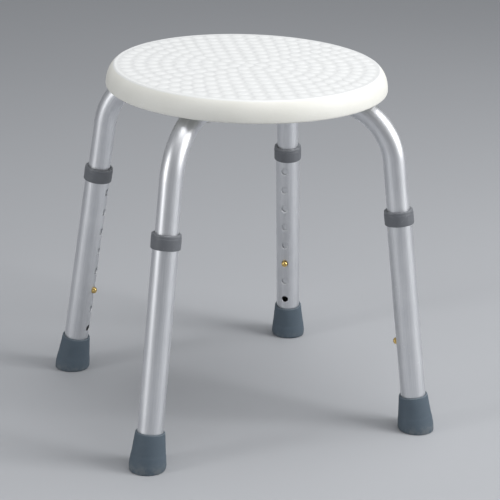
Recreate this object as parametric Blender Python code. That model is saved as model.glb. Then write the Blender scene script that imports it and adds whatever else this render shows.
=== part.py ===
"""Round shower stool on four splayed, height-adjustable legs.

Metres, +Z up. The origin is on the floor under the seat's centre, and one leg stands near each of
-Y (front), +X (right), +Y (rear) and -X (left). The stool stands in its third-lowest setting.
"""

from math import acos, cos, pi, radians, sin, tan

import bmesh
import bpy
from mathutils import Matrix, Vector

MM = 0.001

# Fits
MESH_GAP = 0.3 * MM  # between pieces that touch or slide on the real stool

# Seat
SEAT_RADIUS = 158.1 * MM
SEAT_HEIGHT = 406.4 * MM  # floor to the seat's flat top
SEAT_DEPTH = 24.0 * MM  # flat top to the rim's lower edge
SEAT_PANEL = 4.7 * MM
SEAT_WALL = 3.6 * MM
SEAT_CORNER = 1.4 * SEAT_WALL  # thickening where the wall meets the panel
RIM_REACH = 15.8 * MM  # half-width of the oval that the rim's flank is part of
RIM_OVAL = 23.6 * MM  # half-height of that oval
RIM_LIP = 2.0 * MM  # rounding of the rim's lower edge
RIB_THICKNESS = 2.4 * MM
RIB_CLEARANCE = 1.3 * MM  # above the leg tubes
RING_RIB_RADII = (62.0 * MM, 124.0 * MM)
RADIAL_RIBS = 16
HUB_RADIUS = 16.0 * MM
SADDLE_CHEEK = 6.0 * MM
SADDLE_GRIP = 2.0 * MM  # saddle's lower face above the tube's centre line
ROOT_OVERLAP = 1.5 * MM  # how far ribs and saddles run into the panel and the rim

# Legs
LEG_BEARINGS = {"front": -95.2, "right": 1.7, "rear": 94.2, "left": 179.3}  # degrees about +Z
FOOT_CIRCLE = 219.0 * MM  # radius of the circle that the leg axes meet the floor on
SPLAY = radians(7.8)
SETTING_PITCH = 25.4 * MM
SETTINGS = 8
REST_HOLE = 2  # holes below the one that the button is in

# Upper tube
UPPER_RADIUS = 12.7 * MM
UPPER_WALL = 1.2 * MM
ARM_UNDER_SEAT = 28.4 * MM
ARM_HEIGHT = SEAT_HEIGHT - ARM_UNDER_SEAT
BEND_RADIUS = 71.0 * MM
ARM_INNER_END = 30.0 * MM  # from the seat's centre
TAIL_BELOW_BUTTON = 38.0 * MM
BEND_END = FOOT_CIRCLE - ARM_HEIGHT * tan(SPLAY) - BEND_RADIUS * tan((pi / 2 - SPLAY) / 2)
SCREW_STATIONS = {"inner": ARM_INNER_END + 24.0 * MM, "outer": BEND_END - 11.3 * MM}
SADDLE_SPAN = (ARM_INNER_END + 10.0 * MM, BEND_END + 4.7 * MM)

# Lower tube, collar and tip
LOWER_WALL = 1.3 * MM
LOWER_RADIUS = UPPER_RADIUS + MESH_GAP + LOWER_WALL
BUTTON_HOLE_RADIUS = 4.0 * MM
TIP_HEIGHT = 42.5 * MM
TIP_FLOOR = 6.5 * MM
TIP_TOP_WALL = 1.9 * MM
TIP_SLEEVE_RADIUS = LOWER_RADIUS + MESH_GAP + TIP_TOP_WALL
TIP_FLARE = 4.3 * MM  # how much wider the tip's base is than its sleeve
TIP_BASE_RADIUS = TIP_SLEEVE_RADIUS + TIP_FLARE
TIP_FLARE_HEIGHT = 0.4 * TIP_HEIGHT
TIP_FLARE_STEP = 1.2 * MM
TIP_EASE = 0.6 * MM  # the tip's eased edges
TIP_TREAD = 2.0 * MM  # solid base under the flare's high side
TIP_WASHER_THICKNESS = 1.2 * MM
TIP_WASHER_HOLE = LOWER_RADIUS / 3
LOWEST_HOLE = TIP_HEIGHT + 13.9 * MM  # along the leg axis, from the floor
COLLAR_BOTTOM = LOWEST_HOLE + (SETTINGS - 1) * SETTING_PITCH + 13.1 * MM
COLLAR_HEIGHT = 16.7 * MM
COLLAR_WALL = 2.0 * MM
COLLAR_LIP = 3.2 * MM
COLLAR_BEVEL = 1.0 * MM

# Snap button and its spring
BUTTON_RADIUS = BUTTON_HOLE_RADIUS - MESH_GAP
BUTTON_DOME = 0.75 * BUTTON_RADIUS
BUTTON_REACH = 4.2 * MM  # how far the dome stands out of the lower tube
LEAF_THICKNESS = 0.6 * MM
LEAF_WIDTH = 6.4 * MM
LEAF_INSET = UPPER_RADIUS - UPPER_WALL - 1.1 * MM  # leaf's outer face from the tube's axis
LEAF_BELOW = 7.0 * MM
LEAF_ABOVE = 22.0 * MM

# Fasteners and plugs
SCREW_RADIUS = 2.4 * MM
SCREW_HEAD_RADIUS = 4.8 * MM
SCREW_HEAD_HEIGHT = 3.0 * MM
SCREW_CROWN_RADIUS = 0.72 * SCREW_HEAD_RADIUS
SCREW_CROWN_HEIGHT = 0.45 * SCREW_HEAD_HEIGHT
SCREW_END_COVER = 1.2 * MM  # insert past the screw's end
INSERT_RADIUS = 3.6 * MM
INSERT_LENGTH = 7.4 * MM
PLUG_CAP = 2.0 * MM
PLUG_DEPTH = 10.0 * MM

# Facets
SEAT_SIDES = 64
UPPER_SIDES = 16
LOWER_SIDES = 20
BEND_STEPS = 9
RIM_STEPS = 5
DOME_STEPS = 4
SPRING_STEPS = 8
SMALL_SIDES = 10
PLUG_SIDES = 14

FLAT_UNDER = radians(32)  # edges sharper than this stay crisp


def clear_scene():
    for old in list(bpy.data.objects):
        bpy.data.objects.remove(old, do_unlink=True)


def finish(name, colour, roughness, metallic=0.0):
    made = bpy.data.materials.new(name)
    made.use_nodes = True
    shader = made.node_tree.nodes["Principled BSDF"]
    shader.inputs["Base Color"].default_value = (*colour, 1.0)
    shader.inputs["Roughness"].default_value = roughness
    shader.inputs["Metallic"].default_value = metallic
    return made


def empty(name, parent=None, location=(0, 0, 0), rotation=(0, 0, 0)):
    made = bpy.data.objects.new(name, None)
    made.parent = parent
    made.location = location
    made.rotation_euler = rotation
    bpy.context.collection.objects.link(made)
    return made


def place(name, mesh, parent=None, look=None):
    made = bpy.data.objects.new(name, mesh)
    made.parent = parent
    if look and not mesh.materials:
        mesh.materials.append(look)
    bpy.context.collection.objects.link(made)
    return made


def mesh_from(name, points, faces):
    """A mesh of these faces, turned to face outwards, round where its facets meet gently."""
    mesh = bpy.data.meshes.new(name)
    mesh.from_pydata(points, [], faces)
    shape = bmesh.new()
    shape.from_mesh(mesh)
    bmesh.ops.recalc_face_normals(shape, faces=shape.faces)
    shape.to_mesh(mesh)
    shape.free()
    soften(mesh)
    return mesh


def soften(mesh):
    mesh.shade_smooth()
    mesh.set_sharp_from_angle(angle=FLAT_UNDER)


def bore(radius, sides):
    """Corner radius of a round hole's facets that leaves the full radius clear."""
    return radius / cos(pi / sides)


def turned(name, profile, sides):
    """Turns a profile of (radius, height) about Z. It is a loop, or it starts and ends on the axis."""
    points, rings, faces = [], [], []
    for radius, height in profile:
        if radius == 0:
            rings.append([len(points)] * sides)
            points.append((0, 0, height))
            continue
        rings.append([len(points) + side for side in range(sides)])
        turns = [2 * pi * side / sides for side in range(sides)]
        points += [(radius * cos(turn), radius * sin(turn), height) for turn in turns]
    pairs = list(zip(rings, rings[1:]))
    if profile[0][0] > 0:
        pairs.append((rings[-1], rings[0]))
    for lower, upper in pairs:
        for side in range(sides):
            after = (side + 1) % sides
            corners = [lower[side], lower[after], upper[after], upper[side]]
            faces.append(list(dict.fromkeys(corners)))
    return mesh_from(name, points, faces)


def pipe(name, path, outer, inner, sides):
    """A hollow tube along a path of (point, sideways direction) in the XZ plane."""
    points, faces = [], []
    for radius in (outer, inner):
        for centre, aside in path:
            for side in range(sides):
                turn = 2 * pi * side / sides
                out = Vector(aside) * cos(turn) + Vector((0, 1, 0)) * sin(turn)
                points.append(Vector(centre) + out * radius)
    rings = [range(start, start + sides) for start in range(0, len(points), sides)]
    count = len(path)
    pairs = [(rings[step], rings[step + 1]) for step in range(count - 1)]
    pairs += [(rings[count + step], rings[count + step + 1]) for step in range(count - 1)]
    pairs += [(rings[0], rings[count]), (rings[count - 1], rings[-1])]
    for lower, upper in pairs:
        for side in range(sides):
            after = (side + 1) % sides
            faces.append([lower[side], lower[after], upper[after], upper[side]])
    return mesh_from(name, points, faces)


def block(name, low, high):
    """A box between two corners."""
    xs, ys, zs = zip(low, high)
    points = [(x, y, z) for x in xs for y in ys for z in zs]
    faces = [(0, 1, 3, 2), (4, 6, 7, 5), (0, 4, 5, 1), (2, 3, 7, 6), (0, 2, 6, 4), (1, 5, 7, 3)]
    return mesh_from(name, points, faces)


def plate(name, outline, thickness):
    """A flat plate of an outline in the XZ plane, half its thickness either side of the plane."""
    count = len(outline)
    points = [(x, side * thickness / 2, z) for side in (-1, 1) for x, z in outline]
    faces = [list(range(count)), list(range(count, 2 * count))]
    for step in range(count):
        after = (step + 1) % count
        faces.append([step, after, count + after, count + step])
    return mesh_from(name, points, faces)


def rod(name, start, end, radius, sides):
    """A solid round bar between two points, with the full radius inside its facets."""
    start, end = Vector(start), Vector(end)
    length = (end - start).length
    corner = bore(radius, sides)
    mesh = turned(name, [(0, 0), (corner, 0), (corner, length), (0, length)], sides)
    turn = (end - start).to_track_quat("Z", "Y").to_matrix().to_4x4()
    mesh.transform(Matrix.Translation(start) @ turn)
    return mesh


def combine(mesh, tools, operation):
    """The mesh with each tool joined to it (UNION) or cut from it (DIFFERENCE)."""
    body = place("body", mesh)
    for tool_mesh in tools:
        tool = place("tool", tool_mesh)
        cut = body.modifiers.new("cut", "BOOLEAN")
        cut.operation = operation
        cut.solver = "EXACT"
        cut.object = tool
        graph = bpy.context.evaluated_depsgraph_get()
        result = bpy.data.meshes.new_from_object(body.evaluated_get(graph))
        body.modifiers.clear()
        body.data = result
        bpy.data.objects.remove(tool, do_unlink=True)
    result = body.data
    bpy.data.objects.remove(body, do_unlink=True)
    result.name = mesh.name
    soften(result)
    return result


def rest_button_height():
    return LOWEST_HOLE + REST_HOLE * SETTING_PITCH


def rim_arc(steps):
    """The rim's outer side: an oval flank from the flat top's edge down to the rounded lip."""
    widest = SEAT_HEIGHT - SEAT_DEPTH + RIM_LIP
    start = acos((SEAT_HEIGHT - widest) / RIM_OVAL)
    middle = SEAT_RADIUS - RIM_REACH
    turns = [start + (pi / 2 - start) * step / steps for step in range(steps + 1)]
    flank = [(middle + RIM_REACH * sin(t), widest + RIM_OVAL * cos(t)) for t in turns]
    lip = [(SEAT_RADIUS - RIM_LIP * (1 - cos(t)), widest - RIM_LIP * sin(t)) for t in (pi / 4, pi / 2)]
    return flank + lip


def wall_inside():
    """Radius of the rim wall's inner face."""
    return SEAT_RADIUS - RIM_LIP - SEAT_WALL


def rib_depth():
    """Height of the ribs' lower edges, just clear of the leg tubes."""
    return ARM_HEIGHT + UPPER_RADIUS + RIB_CLEARANCE


def panel_under():
    return SEAT_HEIGHT - SEAT_PANEL


def seat_shell():
    """The seat's top, rim, ring ribs and hub: a turned shell that is open underneath."""
    under = panel_under()
    low = rib_depth()
    edge = SEAT_HEIGHT - SEAT_DEPTH
    inside = bore(wall_inside(), SEAT_SIDES)
    profile = [(0, SEAT_HEIGHT), *rim_arc(RIM_STEPS)]
    profile += [(inside, edge), (inside, under - SEAT_CORNER), (inside - SEAT_CORNER, under)]
    for radius in sorted(RING_RIB_RADII, reverse=True):
        outer = radius + RIB_THICKNESS / 2
        inner = radius - RIB_THICKNESS / 2
        profile += [(outer, under), (outer, low), (inner, low), (inner, under)]
    profile += [(HUB_RADIUS, under), (HUB_RADIUS, low), (0, low)]
    return turned("seat", profile, SEAT_SIDES)


def radial_ribs():
    """Ribs from the hub, or from the inner ring, out into the rim."""
    low = rib_depth() + MESH_GAP
    root = panel_under() + ROOT_OVERLAP
    reach = wall_inside() + ROOT_OVERLAP
    shoulder = [(reach, panel_under() - SEAT_CORNER), (wall_inside() - SEAT_CORNER, root)]
    made = []
    for number in range(RADIAL_RIBS):
        start = HUB_RADIUS - ROOT_OVERLAP if number % 2 else RING_RIB_RADII[0]
        outline = [(start, low), (reach, low), *shoulder, (start, root)]
        rib = plate("radial_rib", outline, RIB_THICKNESS)
        rib.transform(Matrix.Rotation(2 * pi * (number + 0.5) / RADIAL_RIBS, 4, "Z"))
        made.append(rib)
    return made


def saddle(bearing):
    """A block under the panel that one leg tube is clamped up into."""
    root = panel_under() + 2 * ROOT_OVERLAP
    across = UPPER_RADIUS + MESH_GAP + SADDLE_CHEEK
    low = (SADDLE_SPAN[0], -across, ARM_HEIGHT + SADDLE_GRIP)
    mesh = block("saddle", low, (SADDLE_SPAN[1], across, root))
    mesh.transform(Matrix.Rotation(radians(bearing), 4, "Z"))
    return mesh


def saddle_cuts(bearing):
    """The groove that takes the tube, and the blind bores that take the threaded inserts."""
    groove_start = (SADDLE_SPAN[0] / 2, 0, ARM_HEIGHT)
    groove_end = (SADDLE_SPAN[1] + SADDLE_CHEEK, 0, ARM_HEIGHT)
    cuts = [rod("groove", groove_start, groove_end, UPPER_RADIUS + MESH_GAP, 2 * UPPER_SIDES)]
    top = insert_bottom() + INSERT_LENGTH + MESH_GAP
    for station in SCREW_STATIONS.values():
        ends = (station, 0, ARM_HEIGHT), (station, 0, top)
        cuts.append(rod("insert_bore", *ends, INSERT_RADIUS + MESH_GAP, SMALL_SIDES))
    for cut in cuts:
        cut.transform(Matrix.Rotation(radians(bearing), 4, "Z"))
    return cuts


def make_seat(look):
    mesh = combine(seat_shell(), radial_ribs(), "UNION")
    bearings = LEG_BEARINGS.values()
    mesh = combine(mesh, [saddle(bearing) for bearing in bearings], "UNION")
    for bearing in bearings:
        mesh = combine(mesh, saddle_cuts(bearing), "DIFFERENCE")
    place("seat", mesh, look=look)


def upper_path():
    """The tube's centre line: up the leg, round the bend and in along the arm, with its side."""
    foot = Vector((FOOT_CIRCLE, 0, 0))
    up = Vector((-sin(SPLAY), 0, cos(SPLAY)))
    aside = Vector((-cos(SPLAY), 0, -sin(SPLAY)))
    corner = ARM_HEIGHT / cos(SPLAY)
    turn = pi / 2 - SPLAY
    set_back = BEND_RADIUS * tan(turn / 2)
    bottom = rest_button_height() - TAIL_BELOW_BUTTON
    bend_start = foot + up * (corner - set_back)
    centre = bend_start + aside * BEND_RADIUS
    path = [(foot + up * bottom, aside)]
    for step in range(BEND_STEPS + 1):
        part = turn * step / BEND_STEPS
        towards = aside * cos(part) - up * sin(part)
        path.append((centre - towards * BEND_RADIUS, towards))
    path.append((Vector((ARM_INNER_END, 0, ARM_HEIGHT)), Vector((0, 0, -1))))
    return path


def upper_tube_mesh():
    """The bent tube, with its button hole and the holes that the seat screws pass through."""
    inner = bore(UPPER_RADIUS - UPPER_WALL, UPPER_SIDES)
    mesh = pipe("upper_tube", upper_path(), UPPER_RADIUS, inner, UPPER_SIDES)
    lean = Matrix.Translation((FOOT_CIRCLE, 0, 0)) @ Matrix.Rotation(-SPLAY, 4, "Y")
    ends = (-2 * UPPER_RADIUS, 0, rest_button_height()), (0, 0, rest_button_height())
    hole = rod("button_hole", *ends, BUTTON_HOLE_RADIUS, SMALL_SIDES)
    hole.transform(lean)
    cuts = [hole]
    for station in SCREW_STATIONS.values():
        ends = (station, 0, ARM_HEIGHT - 2 * UPPER_RADIUS), (station, 0, ARM_HEIGHT + 2 * UPPER_RADIUS)
        cuts.append(rod("screw_hole", *ends, SCREW_RADIUS + MESH_GAP, SMALL_SIDES))
    return combine(mesh, cuts, "DIFFERENCE")


def tube_plug_mesh():
    """A push-in plug that caps the arm's inner end: a thin cap and a stub."""
    stub = UPPER_RADIUS - UPPER_WALL - MESH_GAP
    cap = ARM_INNER_END - MESH_GAP
    outer = [(0, cap - PLUG_CAP), (UPPER_RADIUS, cap - PLUG_CAP), (UPPER_RADIUS, cap), (stub, cap)]
    end = ARM_INNER_END + PLUG_DEPTH
    profile = [*outer, (stub, end), (stub / 2, end), (stub / 2, cap), (0, cap)]
    mesh = turned("tube_plug", profile, PLUG_SIDES)
    mesh.transform(Matrix.Translation((0, 0, ARM_HEIGHT)) @ Matrix.Rotation(pi / 2, 4, "Y"))
    return mesh


def insert_bottom():
    return ARM_HEIGHT + UPPER_RADIUS + 2 * MESH_GAP


def seat_screw_mesh():
    """A pan-head screw, head down, built about the screw's own axis."""
    seat = ARM_HEIGHT - UPPER_RADIUS - MESH_GAP
    head = seat - SCREW_HEAD_HEIGHT
    end = insert_bottom() + INSERT_LENGTH - SCREW_END_COVER
    profile = [(0, head), (SCREW_CROWN_RADIUS, head), (SCREW_HEAD_RADIUS, head + SCREW_CROWN_HEIGHT)]
    profile += [(SCREW_HEAD_RADIUS, seat), (SCREW_RADIUS, seat), (SCREW_RADIUS, end), (0, end)]
    return turned("seat_screw", profile, SMALL_SIDES)


def insert_mesh():
    """A threaded insert, built about the screw's axis."""
    low = insert_bottom()
    high = low + INSERT_LENGTH
    inner = bore(SCREW_RADIUS + MESH_GAP, SMALL_SIDES)
    loop = [(INSERT_RADIUS, low), (INSERT_RADIUS, high), (inner, high), (inner, low)]
    return turned("insert", loop, SMALL_SIDES)


def lower_tube_mesh():
    """The sleeve that slides on the upper tube, with its row of height holes on the inner side."""
    bottom = TIP_FLOOR + TIP_WASHER_THICKNESS + 2 * MESH_GAP
    top = COLLAR_BOTTOM + COLLAR_HEIGHT - COLLAR_LIP - MESH_GAP
    inner = bore(UPPER_RADIUS + MESH_GAP, LOWER_SIDES)
    loop = [(LOWER_RADIUS, bottom), (LOWER_RADIUS, top), (inner, top), (inner, bottom)]
    mesh = turned("lower_tube", loop, LOWER_SIDES)
    cuts = []
    for setting in range(SETTINGS):
        height = LOWEST_HOLE + setting * SETTING_PITCH
        ends = (-2 * LOWER_RADIUS, 0, height), (0, 0, height)
        cuts.append(rod("height_hole", *ends, BUTTON_HOLE_RADIUS, SMALL_SIDES))
    return combine(mesh, cuts, "DIFFERENCE")


def collar_mesh():
    """A bush over the lower tube's top, with a lip that closes down on the upper tube."""
    outer = LOWER_RADIUS + MESH_GAP + COLLAR_WALL
    top = COLLAR_BOTTOM + COLLAR_HEIGHT
    wide = bore(LOWER_RADIUS + MESH_GAP, LOWER_SIDES)
    narrow = bore(UPPER_RADIUS + MESH_GAP, LOWER_SIDES)
    outside = [(wide, COLLAR_BOTTOM), (outer, COLLAR_BOTTOM), (outer, top - COLLAR_BEVEL)]
    inside = [(outer - COLLAR_BEVEL, top), (narrow, top), (narrow, top - COLLAR_LIP)]
    return turned("collar", [*outside, *inside, (wide, top - COLLAR_LIP)], LOWER_SIDES)


def rubber_tip_mesh():
    """A flared rubber foot round the leg axis, its base level with the floor."""
    mouth = bore(LOWER_RADIUS + MESH_GAP, LOWER_SIDES)
    flare = (TIP_SLEEVE_RADIUS + TIP_BASE_RADIUS) / 2
    tread = TIP_BASE_RADIUS * sin(SPLAY) + TIP_TREAD
    profile = [(0, 0), (TIP_BASE_RADIUS - TIP_EASE, 0), (TIP_BASE_RADIUS, tread)]
    profile += [(flare + TIP_FLARE_STEP, TIP_FLARE_HEIGHT), (flare, TIP_FLARE_HEIGHT + TIP_FLARE_STEP)]
    profile += [(TIP_SLEEVE_RADIUS, TIP_HEIGHT - TIP_EASE)]
    profile += [(TIP_SLEEVE_RADIUS - TIP_EASE, TIP_HEIGHT)]
    profile += [(mouth, TIP_HEIGHT), (mouth, TIP_FLOOR), (0, TIP_FLOOR)]
    mesh = turned("rubber_tip", profile, LOWER_SIDES)
    for point in mesh.vertices:
        if point.co.z < tread / 2:
            point.co.z = -point.co.x * tan(SPLAY)
    soften(mesh)
    return mesh


def tip_washer_mesh():
    """The disc that keeps the tube's end from cutting through the rubber."""
    low = TIP_FLOOR + MESH_GAP
    high = low + TIP_WASHER_THICKNESS
    hole = TIP_WASHER_HOLE
    loop = [(LOWER_RADIUS, low), (LOWER_RADIUS, high), (hole, high), (hole, low)]
    return turned("tip_washer", loop, PLUG_SIDES)


def snap_button_mesh():
    """A domed pin pointing out along -X, from the leaf to beyond the lower tube."""
    base = LEAF_INSET + MESH_GAP
    tip = LOWER_RADIUS + BUTTON_REACH
    profile = [(0, base), (BUTTON_RADIUS, base)]
    for step in range(DOME_STEPS):
        turn = step / DOME_STEPS * pi / 2
        profile.append((BUTTON_RADIUS * cos(turn), tip - BUTTON_DOME + BUTTON_DOME * sin(turn)))
    mesh = turned("snap_button", [*profile, (0, tip)], SMALL_SIDES)
    mesh.transform(Matrix.Rotation(-pi / 2, 4, "Y"))
    return mesh


def leaf_spring_mesh():
    """A bent strip: one leaf behind the button, a round top, and one leaf on the far wall."""
    middle = LEAF_INSET - LEAF_THICKNESS / 2
    half = LEAF_THICKNESS / 2
    inner, outer = [], []
    for radius, line in ((middle - half, inner), (middle + half, outer)):
        line.append((-radius, -LEAF_BELOW))
        for step in range(SPRING_STEPS + 1):
            turn = pi * step / SPRING_STEPS
            line.append((-radius * cos(turn), LEAF_ABOVE + radius * sin(turn)))
        line.append((radius, -LEAF_BELOW))
    outline = outer + inner[::-1]
    count = len(outline)
    points = [(x, side * LEAF_WIDTH / 2, z) for side in (-1, 1) for x, z in outline]
    faces = []
    strip = len(outer)
    for base in (0, count):
        for step in range(strip - 1):
            far = count - 1 - step
            faces.append([base + step, base + step + 1, base + far - 1, base + far])
    for step in range(count):
        after = (step + 1) % count
        faces.append([step, after, count + after, count + step])
    return mesh_from("button_spring", points, faces)


def make_leg(name, bearing, shapes, looks):
    station = empty(f"{name}_station", rotation=(0, 0, radians(bearing)))
    axis = empty(f"{name}_leg_axis", station, (FOOT_CIRCLE, 0, 0), (0, -SPLAY, 0))
    button = empty(f"{name}_button_axis", axis, (0, 0, rest_button_height()))
    for kind in ("upper_tube", "tube_plug"):
        place(f"{name}_{kind}", shapes[kind], station, looks[kind])
    for where, radius in SCREW_STATIONS.items():
        screw = empty(f"{name}_{where}_screw_axis", station, (radius, 0, 0))
        for kind in ("screw", "insert"):
            place(f"{name}_{where}_{kind}", shapes[kind], screw, looks[kind])
    for kind in ("lower_tube", "collar", "rubber_tip", "tip_washer"):
        place(f"{name}_{kind}", shapes[kind], axis, looks[kind])
    for kind in ("snap_button", "button_spring"):
        place(f"{name}_{kind}", shapes[kind], button, looks[kind])


def make_finishes():
    aluminium = finish("satin_aluminium", (0.72, 0.73, 0.76), 0.32, 1.0)
    steel = finish("zinc_steel", (0.60, 0.60, 0.60), 0.35, 1.0)
    brass = finish("brass", (0.72, 0.56, 0.24), 0.28, 1.0)
    grey = finish("grey_plastic", (0.22, 0.23, 0.25), 0.5)
    return {
        "seat": finish("white_plastic", (0.86, 0.86, 0.81), 0.42),
        "upper_tube": aluminium,
        "lower_tube": aluminium,
        "tube_plug": grey,
        "collar": grey,
        "rubber_tip": finish("rubber", (0.13, 0.15, 0.18), 0.7),
        "tip_washer": steel,
        "screw": steel,
        "button_spring": steel,
        "snap_button": brass,
        "insert": brass,
    }


def main():
    clear_scene()
    looks = make_finishes()
    shapes = {
        "upper_tube": upper_tube_mesh(),
        "tube_plug": tube_plug_mesh(),
        "screw": seat_screw_mesh(),
        "insert": insert_mesh(),
        "lower_tube": lower_tube_mesh(),
        "collar": collar_mesh(),
        "rubber_tip": rubber_tip_mesh(),
        "tip_washer": tip_washer_mesh(),
        "snap_button": snap_button_mesh(),
        "button_spring": leaf_spring_mesh(),
    }
    make_seat(looks["seat"])
    for name, bearing in LEG_BEARINGS.items():
        make_leg(name, bearing, shapes, looks)


main()
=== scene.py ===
from math import acos, asin, cos, pi, radians, sin, tan

import bmesh
import bpy
import numpy as np
from mathutils import Matrix, Vector


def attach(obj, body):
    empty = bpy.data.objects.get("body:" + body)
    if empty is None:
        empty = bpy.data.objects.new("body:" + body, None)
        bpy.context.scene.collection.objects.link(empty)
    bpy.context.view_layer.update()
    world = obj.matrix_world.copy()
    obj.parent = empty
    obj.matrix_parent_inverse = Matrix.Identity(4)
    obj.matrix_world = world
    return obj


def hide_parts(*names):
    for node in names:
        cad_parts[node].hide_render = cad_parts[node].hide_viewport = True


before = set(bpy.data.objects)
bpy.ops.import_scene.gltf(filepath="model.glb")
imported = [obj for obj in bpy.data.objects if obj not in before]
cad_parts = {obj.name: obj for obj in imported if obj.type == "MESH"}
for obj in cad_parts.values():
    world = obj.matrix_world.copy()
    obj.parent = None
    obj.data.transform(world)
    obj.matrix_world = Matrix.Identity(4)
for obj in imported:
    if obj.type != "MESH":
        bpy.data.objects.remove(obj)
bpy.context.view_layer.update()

MM = 0.001
SEAT_RADIUS = 158.1 * MM
SEAT_HEIGHT = 406.4 * MM
SEAT_EDGE = 382.4 * MM  # the rim's lower edge
RIM_REACH = 15.8 * MM  # half-width of the oval that the rim's flank is part of
RIM_OVAL = 23.6 * MM  # half-height of that oval
RIM_LIP = 2.0 * MM
RIM_TOP = SEAT_HEIGHT - 1.1 * MM
FLANK_STEPS = 14
LIP_STEPS = 6
SEAM = (SEAT_EDGE + 2 * MM, SEAT_EDGE + 3 * MM)  # where the outside ends and the underside begins
SEAT_INSIDE = 152.5 * MM
CREST_RADIUS = 148.5 * MM
CREST_LEVEL = 405.95 * MM
FIELD_RADIUS = 145.6 * MM
FIELD_LEVEL = 405.7 * MM
PANEL_UNDER = 401.7 * MM
RIB_LEVEL = 392.0 * MM
RIB_THICKNESS = 2.4 * MM
RIB_SLANT = 4.0 * MM  # how far a rib's outer top is drawn in, clear of the wall's rounded corner
RING_RIBS = (124.0 * MM, 62.0 * MM)
RADIAL_RIBS = 16
HUB_RADIUS = 16.0 * MM
BUMP_PITCH = 15.3 * MM
BUMP_RINGS = 9
BUMP_RADIUS = 7.3 * MM
BUMP_SHOULDER = 2.8 * MM
BUMP_RISE = 0.65 * MM
BUMP_BROW = 0.72  # how high a bump's shoulder comes up, as a share of its crown
FIELD_RINGS = 114  # rings of faces across the bumpy field, each with six more sides than the last
UNDERSIDE_SIDES = 6 * FIELD_RINGS // 4
SADDLE_SPAN = (40.0 * MM, 110.0 * MM)
SADDLE_HALF = 19.0 * MM
SADDLE_LOW = 380.0 * MM

LEG_BEARINGS = {"front": -95.2, "right": 1.7, "rear": 94.2, "left": 179.3}
FOOT_CIRCLE = 219.0 * MM
SPLAY = radians(7.8)
SETTING_PITCH = 25.4 * MM
SETTINGS = 8
LOWEST_HOLE = 56.4 * MM
BUTTON_HEIGHT = LOWEST_HOLE + 2 * SETTING_PITCH
ARM_HEIGHT = 378.0 * MM
BEND_RADIUS = 71.0 * MM
ARM_INNER_END = 30.0 * MM
UPPER_RADIUS = 12.7 * MM
UPPER_BORE = 11.5 * MM
UPPER_TAIL = BUTTON_HEIGHT - 38.0 * MM
UPPER_EASE = 0.4 * MM
BEND_STEPS = 30
SCREW_STATIONS = {"inner": 54.0 * MM, "outer": 94.0 * MM}
FIT = 0.3 * MM  # the play between a part and what it fits over or into
LOWER_RADIUS = 14.3 * MM
LOWER_BORE = 13.0 * MM
LOWER_BOTTOM = 8.3 * MM
LOWER_EASE = 0.3 * MM
HOLE_RADIUS = 4.0 * MM
HOLE_EASE = 0.3 * MM
HOLE_SHARES = (0.45, 0.16, 0.0)  # rings of points from a hole's square border in to its edge
DRILLED_SIDES = 40
DRILLED_COLUMNS = 8  # of those sides, the ones that the holes take up
COLLAR_BOTTOM = 247.3 * MM
COLLAR_TOP = 264.0 * MM
COLLAR_RADIUS = 16.6 * MM
COLLAR_LIP = 3.2 * MM
TIP_HEIGHT = 42.5 * MM
TIP_FLOOR = 6.5 * MM
TIP_SLEEVE = 16.5 * MM
TIP_BASE = 20.7 * MM
TIP_STEP_HEIGHT = 17.0 * MM
TIP_STEP = 0.8 * MM
TREAD_RINGS = (5.0 * MM, 9.6 * MM, 14.2 * MM)
TREAD_GROOVE = 1.3 * MM
BUTTON_RADIUS = 3.7 * MM
BUTTON_INNER = 10.7 * MM
BUTTON_TIP = 18.5 * MM
BUTTON_DOME = 2.8 * MM
DOME_STEPS = 14
SCREW_HEAD_RADIUS = 4.8 * MM
SCREW_HEAD_TOP = 362.0 * MM
SCREW_HEAD_SEAT = 365.0 * MM
SCREW_HEAD_CROWN = 1.65 * MM
SCREW_SHANK = 2.4 * MM
SCREW_TOP = 397.9 * MM
CROSS_HALF_WIDTH = 0.62 * MM
CROSS_REACH = 2.6 * MM
CROSS_DEPTH = 1.35 * MM
PLUG_CAP = 2.0 * MM
PLUG_STUB = 9.5 * MM

VIEW_TURN = radians(20.585)  # the camera's way round from the stool's own axes


# Shapes


def skin(name, points, faces, crease=38.0):
    """A mesh with its faces turned outwards, smooth but for edges sharper than the crease."""
    mesh = bpy.data.meshes.new(name)
    mesh.from_pydata([tuple(map(float, p)) for p in points], [], faces)
    work = bmesh.new()
    work.from_mesh(mesh)
    bmesh.ops.recalc_face_normals(work, faces=work.faces)
    for face in work.faces:
        face.smooth = True
    for edge in work.edges:
        edge.smooth = len(edge.link_faces) != 2 or edge.calc_face_angle(0.0) < radians(crease)
    work.to_mesh(mesh)
    work.free()
    return mesh


def eased(corners, steps, loop=False):
    """An outline with rounded corners. Each corner is (x, y, how far back its rounding starts)."""
    line = []
    count = len(corners)
    for number, (x, y, reach) in enumerate(corners):
        here = Vector((x, y))
        if reach == 0 or (not loop and number in (0, count - 1)):
            line.append((x, y))
            continue
        back = Vector(corners[number - 1][:2]) - here
        onward = Vector(corners[(number + 1) % count][:2]) - here
        start = here + back.normalized() * min(reach, back.length * 0.49)
        end = here + onward.normalized() * min(reach, onward.length * 0.49)
        for step in range(steps + 1):
            t = step / steps
            line.append(tuple(start * (1 - t) ** 2 + here * 2 * t * (1 - t) + end * t**2))
    return line


def strip(rows, loop=False):
    """Faces between rows of point numbers that each go right round; a row of one point is a tip."""
    faces = []
    pairs = list(zip(rows, rows[1:]))
    if loop:
        pairs.append((rows[-1], rows[0]))
    for low, high in pairs:
        around = max(len(low), len(high))
        for k in range(around):
            corners = (low[k % len(low)], low[(k + 1) % len(low)],
                       high[(k + 1) % len(high)], high[k % len(high)])
            face = list(dict.fromkeys(corners))
            if len(face) > 2:
                faces.append(face)
    return faces


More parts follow.
